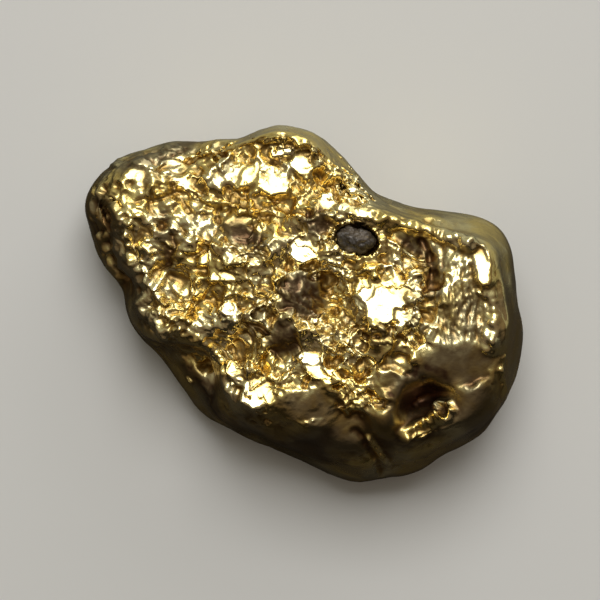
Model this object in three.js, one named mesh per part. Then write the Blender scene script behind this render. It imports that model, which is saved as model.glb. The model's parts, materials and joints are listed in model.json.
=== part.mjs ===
// A natural gold nugget, about 11 mm long, lying on its worn underside, with a dark grain of iron
// mineral seated in a pocket of its upper face. Millimetres, +Z up, +X along the nugget's length.
import * as THREE from "three";
import { ImprovedNoise } from "three/addons/math/ImprovedNoise.js";
import { mergeVertices } from "three/addons/utils/BufferGeometryUtils.js";

// Driving dimensions of the nugget's body
const CROWN_HEIGHT = 4; // highest ground of the upper face, above what the nugget lies on
const BELLY_HEIGHT = 1.45; // usual height of the widest girth
const SOLE_DEPTH = 0.2; // how far the lumpy underside would reach past its worn flats
const LEFT_FALL = 0.034; // how quickly the crown drops towards the thin left end, per mm squared
const RIGHT_FALL = 0.03; // the same towards the right end
const FALL_START = 1.2; // x where the crown is highest
const GIRTH_TILT = 0.17; // how quickly the girth climbs towards one side, per mm
const GIRTH_CLIMB_TOWARDS = 55; // degrees anticlockwise from +X

// The shoulder between the sides and the upper face is crisp to the upper right and soft opposite.
// These are powers of superellipses: 2 is round, and higher is squarer.
const SHOULDER_MEAN = 7.5;
const SHOULDER_SWING = 3;
const SHOULDER_CRISP_TOWARDS = 50; // degrees anticlockwise from +X
const SHOULDER_LEVEL = 0.93; // height of the face's edge, as a share of the way from girth to crown
const SIDE_ROUNDNESS = 1.55;
const UNDERSIDE_ROUNDNESS = 2.1;
const WIDEST_EDGE = 0.97; // most of the girth that the upper face takes in any direction

// Fineness of the faceted surface
const SPHERE_DETAIL = 20;
const UPPER_FACE_PULL = 1.6; // above 1 draws more of the triangles up on to the upper face
const RELAX_ROUNDS = 60;
const OUTLINE_STEPS = 20; // samples of a closed outline between two of its points
const REACH_ROUNDS = 3; // rounds that settle the body's surface in one direction

// The girth, which is the silhouette from above, anticlockwise from the right end
const OUTLINE = [
  [5.52, -0.85], [5.35, 0.1], [5.1, 0.95], [4.85, 1.65], [4.45, 1.95], [3.8, 2.25],
  [2.85, 2.5], [2.0, 2.66], [1.45, 3.0], [0.95, 3.5], [0.4, 4.0], [-0.1, 4.28],
  [-0.65, 4.38], [-1.2, 4.27], [-1.7, 4.12], [-2.3, 4.15], [-2.9, 4.05], [-3.5, 3.9],
  [-4.1, 3.6], [-4.75, 3.35], [-5.25, 2.95], [-5.56, 2.6], [-5.42, 1.9], [-5.2, 1.2],
  [-4.95, 0.72], [-4.52, 0.4], [-4.5, 0.0], [-4.38, -0.5], [-4.0, -1.1], [-3.5, -1.6],
  [-3.05, -2.15], [-2.3, -2.9], [-1.4, -3.48], [-0.4, -3.95], [0.45, -4.25], [1.3, -4.38],
  [2.2, -4.3], [3.1, -4.05], [4.0, -3.65], [4.75, -3.05], [5.25, -2.4], [5.48, -1.6],
];

// The edge of the upper face from above, the same way round
const FACE_EDGE = [
  [4.8, 0.03], [4.7, 0.8], [4.45, 1.28], [3.96, 1.43], [3.18, 1.6], [2.4, 1.76],
  [1.69, 1.95], [1.08, 2.08], [0.68, 2.37], [0.32, 2.99], [0.16, 3.46], [-0.26, 3.84],
  [-0.88, 3.95], [-1.51, 3.88], [-1.97, 3.72], [-2.52, 3.65], [-3.06, 3.69], [-3.6, 3.66],
  [-4.32, 3.36], [-4.86, 3.05], [-5.3, 2.58], [-5.3, 1.9], [-5.1, 1.22], [-4.85, 0.66],
  [-4.42, 0.38], [-4.36, -0.05], [-4.25, -0.45], [-3.95, -0.85], [-3.5, -1.1], [-2.9, -1.2],
  [-2.3, -1.35], [-2.08, -1.7], [-2.13, -2.16], [-1.98, -2.65], [-1.51, -2.95], [-0.88, -2.95],
  [-0.34, -2.9], [0.45, -3.02], [1.23, -3.34], [2.24, -3.6], [3.18, -3.6], [3.96, -3.3],
  [4.55, -2.75], [4.74, -2.1], [4.78, -1.38], [4.8, -0.7],
];

// The dark grain and the pocket that it sits in
const GRAIN = { x: 1.22, y: 1.44, halfLength: 0.56, halfWidth: 0.36, halfHeight: 0.3, turn: -14 };
const GRAIN_MIDDLE_HEIGHT = 3.72;
const GRAIN_DETAIL = 5;
const GRAIN_KNOBS = { cell: 0.9, rise: 0.35, tilt: 1, salt: 29 };
const POCKET_RIM_HEIGHT = 4.05;
const POCKET_GAP = 0.07; // clearance between the grain and the gold
const POCKET_FLAT = 0.45; // share of the pocket's half width that its floor takes
const POCKET_REACH = 1.5; // and the share at which its wall meets the face

// Broad forms of the upper face: ovals that rise, or sink where rise is negative. A turn is in
// degrees anticlockwise. A flatness above 2 gives a flat middle and a steep wall.
const OVALS = [
  { x: 2.1, y: -0.05, halfLength: 0.9, halfWidth: 0.8, turn: 20, rise: 0.34 }, // largest boss
  { x: -1.2, y: -2.3, halfLength: 0.75, halfWidth: 0.65, turn: 0, rise: 0.24 }, // lower corner boss
  { x: 0.05, y: 1.3, halfLength: 0.5, halfWidth: 0.42, turn: 10, rise: 0.2 }, // facet by the pocket
  { x: -0.7, y: 3.0, halfLength: 0.6, halfWidth: 0.5, turn: 0, rise: 0.18 },
  { x: -1.55, y: 3.2, halfLength: 0.6, halfWidth: 0.5, turn: 40, rise: 0.18 },
  { x: -0.1, y: 3.4, halfLength: 0.6, halfWidth: 0.5, turn: -50, rise: 0.16 },
  { x: -3.1, y: 3.0, halfLength: 0.5, halfWidth: 0.45, turn: 0, rise: 0.16 },
  { x: -4.3, y: 2.8, halfLength: 0.6, halfWidth: 0.5, turn: 30, rise: 0.14 },
  { x: 0.75, y: -1.95, halfLength: 0.95, halfWidth: 0.45, turn: -20, rise: 0.22 }, // bar, lower edge
  { x: -1.75, y: -1.6, halfLength: 0.5, halfWidth: 0.45, turn: 0, rise: 0.12 },
  { x: -3.85, y: -0.5, halfLength: 0.9, halfWidth: 0.6, turn: -30, rise: 0.18 }, // smooth lower left lobe
  { x: 4.2, y: -1.7, halfLength: 0.9, halfWidth: 0.6, turn: 70, rise: 0.1 }, // smooth lower right lobe
  { x: 0.3, y: 0.2, halfLength: 1.25, halfWidth: 0.75, turn: -60, rise: -0.28 }, // valley between the lobes
  { x: -1.55, y: 1.7, halfLength: 0.6, halfWidth: 0.4, turn: -30, rise: -0.26 },
  { x: -0.6, y: -1.35, halfLength: 0.6, halfWidth: 0.45, turn: 30, rise: -0.24 },
  { x: 1.5, y: -0.95, halfLength: 0.35, halfWidth: 0.6, turn: -15, rise: -0.24 },
  { x: -3.4, y: 1.3, halfLength: 0.8, halfWidth: 0.6, turn: 20, rise: -0.2 },
  { x: -4.8, y: 1.75, halfLength: 0.35, halfWidth: 0.7, turn: 0, rise: -0.18 },
  { x: 2.85, y: 0.42, halfLength: 0.32, halfWidth: 0.3, turn: 0, rise: -0.36, flatness: 3 }, // small pit
  { x: 3.05, y: -2.68, halfLength: 1.05, halfWidth: 0.62, turn: 32, rise: -1.2, flatness: 3 }, // large pit
  { x: 3.62, y: -2.5, halfLength: 0.24, halfWidth: 0.18, turn: 60, rise: 0.35 }, // knob in the large pit
  { x: -2.9, y: -1.95, halfLength: 0.95, halfWidth: 0.6, turn: -42, rise: -0.4 }, // recess, lower left
  { x: -2.85, y: -1.85, halfLength: 0.35, halfWidth: 0.22, turn: 5, rise: 0.3 }, // small knob in the recess
];
const PLAIN_FLATNESS = 2;

// Long forms of the upper face: ridges that rise along a line, or creases where rise is negative
const RIDGES = [
  {
    line: [
      [1.5, 2.05], [2.3, 1.8], [2.95, 1.65], [3.9, 1.34], [4.35, 1.08],
      [4.56, 0.27], [4.66, -0.56], [4.62, -1.22],
    ],
    halfWidth: 0.3,
    rise: 0.26,
  }, // rim along the top and right of the right lobe
  { line: [[4.3, 1], [4.6, 0.3], [4.66, -0.6]], halfWidth: 1.2, rise: 0.22 }, // slope up to the rim
  { line: [[3.2, 1.2], [3.22, 0.4], [3.15, -0.5]], halfWidth: 0.3, rise: -0.26 }, // trough inside the rim
  {
    line: [[-3.75, 3.6], [-3.3, 3.6], [-2.8, 3.5], [-2.25, 3.5], [-1.85, 3.65]],
    halfWidth: 0.24,
    rise: -0.24,
  }, // groove that parts a thin ledge from the upper left edge
  {
    line: [[-3.6, -0.95], [-2.8, -0.95], [-2.0, -1.3], [-1.8, -2.1]],
    halfWidth: 0.32,
    rise: 0.14,
  }, // lip over the recess
  { line: [[1.35, -3.1], [1.8, -3.6], [2.3, -4.15]], halfWidth: 0.22, rise: -0.2 }, // crease down the side
  { line: [[-4.6, 0.5], [-3.9, 0.25], [-3.2, 0.3]], halfWidth: 0.3, rise: -0.18 }, // fold from the notch
];

// Hackly surface: knobs that bulge and tilt at random and meet in creases, and dents that meet in
// ridges, over slow swelling
const SWELL_SIZE = 2.6;
const SWELL_RISE = 0.3;
const SWELL_ORIGIN = new THREE.Vector3(7.3, 2.9, 5.1);
const KNOB_STEP = 0.5; // how far neighbouring knobs may differ in height, as a share of their rise
const COARSE_KNOBS = { cell: 1.25, rise: 0.36, tilt: 1.4, salt: 3 };
const FINE_KNOBS = { cell: 0.62, rise: 0.24, tilt: 1.6, salt: 11 };
const DENTS = { cell: 0.85, rise: -0.18, tilt: 0.8, salt: 23 };
const COARSE_SHARE = 0.5; // share of the coarse knobs left on the sides and the right band
const FINE_SHARE = 0.28; // and the share of the finer roughness
const SIDE_NORMAL_Z = 0.25; // a face that looks up no more than this is a side
const UPPER_NORMAL_Z = 0.75; // and one that looks up more than this is the upper face
const RIGHT_BAND_START = 2.9;
const RIGHT_BAND_BLEND = 0.7;
const UPPER_BLEND = 1; // height above the belly over which the broad forms come in

const GOLD = new THREE.MeshStandardMaterial({ color: 0xd9a83a, roughness: 0.28, metalness: 1 });
const IRON_MINERAL = new THREE.MeshStandardMaterial({ color: 0x2a2829, roughness: 0.55, metalness: 0.2 });

const noise = new ImprovedNoise();
const { degToRad, lerp, smoothstep } = THREE.MathUtils;

// A closed outline's radius in every direction, read off a smooth curve through its corners.
function makeRadius(outline) {
  const corners = outline.map(([x, y]) => new THREE.Vector3(x, y, 0));
  const curve = new THREE.CatmullRomCurve3(corners, true, "centripetal");
  const samples = curve
    .getPoints(outline.length * OUTLINE_STEPS)
    .map((p) => ({ angle: Math.atan2(p.y, p.x), radius: Math.hypot(p.x, p.y) }))
    .sort((a, b) => a.angle - b.angle);
  return (angle) => {
    let low = 0;
    let high = samples.length - 1;
    if (angle <= samples[low].angle || angle >= samples[high].angle) return samples[low].radius;
    while (high - low > 1) {
      const middle = (low + high) >> 1;
      if (samples[middle].angle <= angle) low = middle;
      else high = middle;
    }
    const span = samples[high].angle - samples[low].angle;
    const share = span > 0 ? (angle - samples[low].angle) / span : 0;
    return lerp(samples[low].radius, samples[high].radius, share);
  };
}
const girthRadius = makeRadius(OUTLINE);
const edgeRadius = makeRadius(FACE_EDGE);

// Height of the upper face over a point in plan, before its relief.
function crownHeight(x) {
  const away = x - FALL_START;
  const fall = away < 0 ? LEFT_FALL : RIGHT_FALL;
  return CROWN_HEIGHT - fall * away * away;
}

// The superellipse sum of two shares, which is 1 on the curve of that power.
const superellipse = (a, b, power) => (a ** power + b ** power) ** (1 / power);

// The point of the plain body in a direction from its middle. Above the girth, the sides lean in to
// the face's edge and meet the crown in a shoulder; below it, the body rounds under like a pillow.
function bodyPoint(direction) {
  const angle = Math.atan2(direction.y, direction.x);
  const outward = Math.hypot(direction.x, direction.y) / girthRadius(angle);
  const edge = Math.min(WIDEST_EDGE, edgeRadius(angle) / girthRadius(angle));
  const lean = (1 - edge ** SIDE_ROUNDNESS) ** (1 / SIDE_ROUNDNESS) / SHOULDER_LEVEL;
  const crispness = SHOULDER_MEAN + SHOULDER_SWING * Math.cos(angle - degToRad(SHOULDER_CRISP_TOWARDS));
  let reach = 0;
  for (let round = 0; round < REACH_ROUNDS; round += 1) {
    const top = crownHeight(direction.x * reach) - BELLY_HEIGHT;
    if (direction.z > 0) {
      const upward = direction.z / top;
      const side = superellipse(outward, lean * upward, SIDE_ROUNDNESS);
      reach = 1 / superellipse(side, upward, crispness);
    } else {
      const downward = -direction.z / (BELLY_HEIGHT + SOLE_DEPTH);
      reach = 1 / superellipse(outward, downward, UNDERSIDE_ROUNDNESS);
    }
  }
  return direction.clone().multiplyScalar(reach).setZ(direction.z * reach + BELLY_HEIGHT);
}

// Lifts the girth on one side and lowers it on the other, and leaves the crown and the sole.
function tiltGirth(point) {
  const crown = crownHeight(point.x);
  if (point.z <= 0 || point.z >= crown) return;
  const towards = degToRad(GIRTH_CLIMB_TOWARDS);
  const climb = GIRTH_TILT * (point.x * Math.cos(towards) + point.y * Math.sin(towards));
  point.z += (climb * point.z * (crown - point.z)) / crown;
}

// A number from 0 to 1 that belongs to one cell of a grid.
function cellNumber(i, j, k, salt) {
  let h = Math.imul(i, 374761393) + Math.imul(j, 668265263) + Math.imul(k, 2147483647 ^ salt);
  h = Math.imul(h ^ (h >>> 13), 1274126177 + salt);
  h = Math.imul(h ^ (h >>> 16), 2246822519);
  return ((h ^ (h >>> 15)) >>> 0) / 4294967296;
}

// Smooth noise of about -1 to 1 whose lumps are a given size.
function swell(point, size) {
  const at = point.clone().divideScalar(size).add(SWELL_ORIGIN);
  return noise.noise(at.x, at.y, at.z);
}

// Rounded facets over a scatter of seeds, one in each cell: each bulges about its seed, is tilted
// and raised by its own amount, and meets its neighbours in a crease.
function knobs(point, { cell, rise, tilt, salt }) {
  const at = point.clone().divideScalar(cell);
  const [ci, cj, ck] = at.toArray().map(Math.floor);
  let highest = -Infinity;
  for (let i = ci - 1; i <= ci + 1; i += 1)
    for (let j = cj - 1; j <= cj + 1; j += 1)
      for (let k = ck - 1; k <= ck + 1; k += 1) {
        const own = (n) => cellNumber(i, j, k, salt + n);
        const dx = at.x - i - own(0);
        const dy = at.y - j - own(1);
        const dz = at.z - k - own(2);
        const slant = tilt * ((own(3) - 0.5) * dx + (own(4) - 0.5) * dy + (own(5) - 0.5) * dz);
        const height = KNOB_STEP * own(6) + slant - (dx * dx + dy * dy + dz * dz);
        highest = Math.max(highest, height);
      }
  return rise * highest;
}

// A smooth hill that is 1 in the middle and 0 at distance 1 and beyond.
const hill = (distance, flatness = PLAIN_FLATNESS) => (distance < 1 ? (1 - distance ** flatness) ** 2 : 0);

// Distance from the middle of an oval, 1 on its edge.
function ovalDistance({ x, y, halfLength, halfWidth, turn }, px, py) {
  const c = Math.cos(degToRad(turn));
  const s = Math.sin(degToRad(turn));
  const along = (px - x) * c + (py - y) * s;
  const across = (py - y) * c - (px - x) * s;
  return Math.hypot(along / halfLength, across / halfWidth);
}

// Distance in plan from a line of straight stretches.
function lineDistance(line, px, py) {
  let least = Infinity;
  for (let i = 1; i < line.length; i += 1) {
    const [ax, ay] = line[i - 1];
    const [bx, by] = line[i];
    const share = ((px - ax) * (bx - ax) + (py - ay) * (by - ay)) / ((bx - ax) ** 2 + (by - ay) ** 2);
    const t = Math.min(1, Math.max(0, share));
    least = Math.min(least, Math.hypot(px - lerp(ax, bx, t), py - lerp(ay, by, t)));
  }
  return least;
}

// How far the surface stands out from the plain body at a point, along its normal.
function relief(point, normal) {
  const onTop = smoothstep(point.z, BELLY_HEIGHT, BELLY_HEIGHT + UPPER_BLEND);
  const facingUp = smoothstep(normal.z, SIDE_NORMAL_Z, UPPER_NORMAL_Z);
  const inBand = smoothstep(point.x, RIGHT_BAND_START, RIGHT_BAND_START + RIGHT_BAND_BLEND);
  const hackly = facingUp * (1 - inBand);
  let out = SWELL_RISE * swell(point, SWELL_SIZE);
  out += lerp(COARSE_SHARE, 1, hackly) * knobs(point, COARSE_KNOBS);
  out += lerp(FINE_SHARE, 1, hackly) * (knobs(point, FINE_KNOBS) + knobs(point, DENTS));
  for (const oval of OVALS)
    out += onTop * oval.rise * hill(ovalDistance(oval, point.x, point.y), oval.flatness);
  for (const { line, halfWidth, rise } of RIDGES)
    out += onTop * rise * hill(lineDistance(line, point.x, point.y) / halfWidth);
  return out;
}

// Keeps the gold clear of the grain: an oval bowl, a little larger than the grain.
function pressPocket(point) {
  const halfLength = GRAIN.halfLength + POCKET_GAP;
  const halfWidth = GRAIN.halfWidth + POCKET_GAP;
  const bowl = { ...GRAIN, halfLength, halfWidth };
  const distance = ovalDistance(bowl, point.x, point.y);
  if (point.z < BELLY_HEIGHT || distance > POCKET_REACH) return;
  const floor = GRAIN_MIDDLE_HEIGHT - GRAIN.halfHeight - POCKET_GAP;
  const wall = lerp(floor, POCKET_RIM_HEIGHT, smoothstep(distance, POCKET_FLAT, POCKET_REACH));
  point.z = Math.min(point.z, wall);
}

// A sphere of unit directions with its shared vertices merged, and each vertex's neighbours.
function makeSphere(detail) {
  const ball = new THREE.IcosahedronGeometry(1, detail);
  ball.deleteAttribute("normal");
  ball.deleteAttribute("uv");
  const geometry = mergeVertices(ball, 1e-5);
  const neighbours = Array.from({ length: geometry.attributes.position.count }, () => new Set());
  const index = geometry.index.array;
  for (let i = 0; i < index.length; i += 3)
    for (const [a, b] of [[0, 1], [1, 2], [2, 0]]) {
      neighbours[index[i + a]].add(index[i + b]);
      neighbours[index[i + b]].add(index[i + a]);
    }
  return { geometry, neighbours };
}

// Every vertex of a geometry as a vector.
const pointsOf = ({ attributes: { position } }) =>
  Array.from({ length: position.count }, (_, i) => new THREE.Vector3().fromBufferAttribute(position, i));

// Puts a list of vectors back as a geometry's vertices.
function setPoints(geometry, points) {
  points.forEach((p, i) => geometry.attributes.position.setXYZ(i, p.x, p.y, p.z));
  geometry.attributes.position.needsUpdate = true;
}

// The nugget's body, evenly covered in triangles, with its relief, pocket and worn flats.
function makeNugget() {
  const { geometry, neighbours } = makeSphere(SPHERE_DETAIL);
  const middle = new THREE.Vector3(0, 0, BELLY_HEIGHT);
  let points = pointsOf(geometry).map(bodyPoint);
  for (let round = 0; round < RELAX_ROUNDS; round += 1)
    points = neighbours.map((around) => {
      const mean = new THREE.Vector3();
      let total = 0;
      for (const other of around) {
        const pull = points[other].z > BELLY_HEIGHT ? UPPER_FACE_PULL : 1;
        mean.addScaledVector(points[other], pull);
        total += pull;
      }
      return bodyPoint(mean.divideScalar(total).sub(middle).normalize());
    });
  points.forEach(tiltGirth);
  setPoints(geometry, points);
  geometry.computeVertexNormals();
  const normals = geometry.attributes.normal;
  const shaped = points.map((p, i) => {
    const normal = new THREE.Vector3().fromBufferAttribute(normals, i);
    return p.clone().addScaledVector(normal, relief(p, normal));
  });
  for (const p of shaped) {
    pressPocket(p);
    p.z = Math.max(p.z, 0);
  }
  setPoints(geometry, shaped);
  geometry.deleteAttribute("normal");
  return geometry;
}

// The dark grain: a blunt broken crystal, turned and set in its pocket.
function makeGrain() {
  const { geometry } = makeSphere(GRAIN_DETAIL);
  const points = pointsOf(geometry).map((p) => p.multiplyScalar(1 + knobs(p, GRAIN_KNOBS)));
  const largest = Math.max(...points.map((p) => p.length()));
  setPoints(geometry, points.map((p) => p.divideScalar(largest)));
  geometry.scale(GRAIN.halfLength, GRAIN.halfWidth, GRAIN.halfHeight);
  geometry.rotateZ(degToRad(GRAIN.turn));
  geometry.translate(GRAIN.x, GRAIN.y, GRAIN_MIDDLE_HEIGHT);
  return geometry;
}

// The finished pieces, moved so that the origin lies under the middle of the nugget.
const nuggetGeometry = makeNugget();
nuggetGeometry.computeBoundingBox();
const { x: middleX, y: middleY } = nuggetGeometry.boundingBox.getCenter(new THREE.Vector3());

const nugget = new THREE.Mesh(nuggetGeometry, GOLD);
nugget.name = "gold_nugget";
const grain = new THREE.Mesh(makeGrain(), IRON_MINERAL);
grain.name = "dark_mineral_grain";
for (const mesh of [nugget, grain]) mesh.geometry.translate(-middleX, -middleY, 0);

const part = new THREE.Group();
part.add(nugget, grain);
export default part;
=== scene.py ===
"""A natural gold nugget with a dark mineral grain in its upper face, lying on a pale studio floor.

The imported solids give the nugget's form. This script gives it its fine hackly surface, its worn
sides and its finish. The forms on the nugget are given in millimetres, and so is each name that
ends in _mm. The studio is in metres. North is +Y.
"""

import json
import logging
import math
from dataclasses import dataclass
from enum import Enum
from typing import ClassVar

import bmesh
import bpy
from mathutils import Euler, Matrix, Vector, noise

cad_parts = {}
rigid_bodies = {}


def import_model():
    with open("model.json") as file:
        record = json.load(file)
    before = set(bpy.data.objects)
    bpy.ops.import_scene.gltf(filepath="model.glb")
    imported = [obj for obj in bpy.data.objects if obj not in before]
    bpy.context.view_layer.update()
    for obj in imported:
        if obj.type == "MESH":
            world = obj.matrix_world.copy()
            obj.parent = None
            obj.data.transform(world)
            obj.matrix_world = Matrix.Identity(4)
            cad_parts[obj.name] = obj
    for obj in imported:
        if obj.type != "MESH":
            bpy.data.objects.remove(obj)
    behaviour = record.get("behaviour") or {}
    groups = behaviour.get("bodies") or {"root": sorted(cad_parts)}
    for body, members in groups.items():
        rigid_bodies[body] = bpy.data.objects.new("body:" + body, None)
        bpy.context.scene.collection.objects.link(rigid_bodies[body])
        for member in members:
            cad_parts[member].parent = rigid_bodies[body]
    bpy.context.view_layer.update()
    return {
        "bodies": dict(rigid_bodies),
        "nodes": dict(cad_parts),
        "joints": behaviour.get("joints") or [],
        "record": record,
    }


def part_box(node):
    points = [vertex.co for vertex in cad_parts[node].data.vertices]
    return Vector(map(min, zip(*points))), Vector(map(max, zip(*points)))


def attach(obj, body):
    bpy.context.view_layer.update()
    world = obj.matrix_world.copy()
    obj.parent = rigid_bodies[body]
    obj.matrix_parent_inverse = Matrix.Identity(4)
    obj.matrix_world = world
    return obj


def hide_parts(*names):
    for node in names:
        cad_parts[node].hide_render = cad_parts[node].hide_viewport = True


MM = 0.001
NOISE_SEED = 3  # without a seed of its own, the noise differs from one run to the next
BELLY_MM = 1.45  # usual height of the widest girth, above which the upper half begins
SPECK_DEPTH_MM = 0.02  # of the finest roughness, which is left to the materials
CLOUD_ROUGHNESS = 0.6  # how strong each finer layer of the noise for patches and specks is
SHADER = "Principled BSDF"

# The Mix node has sockets for every kind of data, and these are the ones for colours.
MIX_FIRST, MIX_SECOND, MIX_RESULT = 6, 7, 2

Colour = tuple[float, float, float]
log = logging.getLogger("gold_nugget")


def lerp(start: float, end: float, share: float) -> float:
    """Mixes two numbers: start where share is 0, end where it is 1."""
    return start + (end - start) * share


@dataclass(frozen=True)
class Ramp:
    """A smooth rise from 0 to 1 between two values, of which the first may be the larger.

    Attributes:
        start: the value up to which the ramp is 0.
        end: the value from which it is 1.
    """

    start: float
    end: float

    def at(self, value: float) -> float:
        """The ramp's height at a value, from 0 to 1."""
        share = min(1.0, max(0.0, (value - self.start) / (self.end - self.start)))
        return share * share * (3.0 - 2.0 * share)

    def towards(self, other: "Ramp", share: float) -> "Ramp":
        """The ramp that lies a share of the way towards another one."""
        return Ramp(lerp(self.start, other.start, share), lerp(self.end, other.end, share))


@dataclass(frozen=True)
class Oval:
    """An oval patch of the upper face, seen from above.

    Attributes:
        x: its middle along the nugget's length.
        y: its middle across the nugget.
        half_length: half its length.
        half_width: half its width.
        turn: its turn, in degrees anticlockwise.
    """

    x: float
    y: float
    half_length: float
    half_width: float
    turn: float = 0.0

    def distance(self, x: float, y: float) -> float:
        """Measures how far a place lies from the middle.

        Args:
            x: the place along the nugget's length.
            y: the place across the nugget.

        Returns:
            The distance, which is 1 on the oval's edge.
        """
        angle = math.radians(self.turn)
        c, s = math.cos(angle), math.sin(angle)
        along = (x - self.x) * c + (y - self.y) * s
        across = (y - self.y) * c - (x - self.x) * s
        return math.hypot(along / self.half_length, across / self.half_width)


@dataclass(frozen=True)
class Plate:
    """A patch of the upper face that is flattened towards a leaning plane.

    Left as they are, the lean and its direction turn a patch so that it mirrors the key light.

    Attributes:
        oval: where it lies and how large it is.
        lift: how far its middle stands above the surface around it.
        lean: how far it leans from level, in degrees.
        towards: the direction that it leans down to, in degrees anticlockwise from +X.
        share: how completely it is flattened, from 0 to 1.
    """

    REACH: ClassVar[float] = 1.8  # times its longer half, past which no corner can be inside
    OUTER_EDGE: ClassVar[float] = 1.25
    EDGE: ClassVar[Ramp] = Ramp(OUTER_EDGE, 0.8)
    FACING: ClassVar[Ramp] = Ramp(0.1, 0.5)  # normal's z
    COARSE_RAGS: ClassVar[tuple[float, float]] = (0.3, 0.45)  # size, and how far they move the edge
    FINE_RAGS: ClassVar[tuple[float, float]] = (0.12, 0.2)
    UNEVEN_SIZE: ClassVar[float] = 0.15
    UNEVEN_RISE: ClassVar[float] = 0.005

    oval: Oval
    lift: float
    lean: float = 12.5
    towards: float = 92.0
    share: float = 0.85

    def edge_distance(self, point: Vector, ragged: float) -> float:
        """Measures how far a point lies from the middle, to a ragged edge.

        Args:
            point: the point.
            ragged: how irregular the outline is, from 0 for a plain oval to 1.

        Returns:
            The distance, which is about 1 on the edge.
        """
        (coarse, far), (fine, near) = self.COARSE_RAGS, self.FINE_RAGS
        rags = far * noise.noise(point / coarse) + near * noise.noise(point / fine)
        return self.oval.distance(point.x, point.y) + ragged * rags

    def press(self, verts: list[bmesh.types.BMVert], ragged: float) -> None:
        """Flattens the surface inside the patch.

        Args:
            verts: the corners of the upper face, changed in place.
            ragged: how irregular the outline is, from 0 for a plain oval to 1.
        """
        middle = Vector((self.oval.x, self.oval.y)) * MM
        reach = self.REACH * max(self.oval.half_length, self.oval.half_width) * MM
        inside = []
        for vert in verts:
            if abs(vert.co.x - middle.x) > reach or abs(vert.co.y - middle.y) > reach:
                continue
            distance = self.edge_distance(vert.co / MM, ragged)
            if distance < self.OUTER_EDGE:
                inside.append((vert, distance))
        if not inside:
            return
        level = sum(vert.co.z for vert, _ in inside) / len(inside) + self.lift * MM
        slope = math.tan(math.radians(self.lean))
        down = Vector((math.cos(math.radians(self.towards)), math.sin(math.radians(self.towards))))
        for vert, distance in inside:
            flat = level - slope * (vert.co.xy - middle).dot(down)
            flat += self.UNEVEN_RISE * MM * noise.noise(vert.co / MM / self.UNEVEN_SIZE)
            share = self.share * self.EDGE.at(distance) * self.FACING.at(vert.normal.z)
            vert.co.z = lerp(vert.co.z, flat, share)


@dataclass(frozen=True)
class Granules:
    """Small rounded granules that touch each other, with dark gaps between them.

    Attributes:
        cell: the usual distance between neighbours.
        rise: how high the largest are, from the gaps to their tops.
        offset: moves the scatter away from those of the facets.
    """

    WARP: ClassVar[float] = 0.25
    WARP_FINENESS: ClassVar[float] = 1.3
    SMALLEST: ClassVar[float] = 0.55  # share of the full rise
    SPREAD: ClassVar[float] = 0.45  # between the smallest and the largest
    SIZE_DRAW: ClassVar[float] = 5.7
    DOME: ClassVar[Ramp] = Ramp(0.62, 0.1)  # distance from the granule's seed, in cells
    PLAIN_LEVEL: ClassVar[float] = 0.5  # share of a dome that lies below the plain surface

    cell: float
    rise: float
    offset: float

    def height(self, point: Vector) -> float:
        """Measures how far the granules stand out.

        Args:
            point: a point of the surface.

        Returns:
            The height above the plain surface, or below it where negative.
        """
        at = point / self.cell + Vector((self.offset, self.offset, self.offset))
        at += noise.noise_vector(at * self.WARP_FINENESS) * self.WARP
        distances, seeds = noise.voronoi(at)
        size = self.SMALLEST + self.SPREAD * noise.cell(seeds[0] * self.SIZE_DRAW)
        return self.rise * size * (self.DOME.at(distances[0]) - self.PLAIN_LEVEL)


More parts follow.
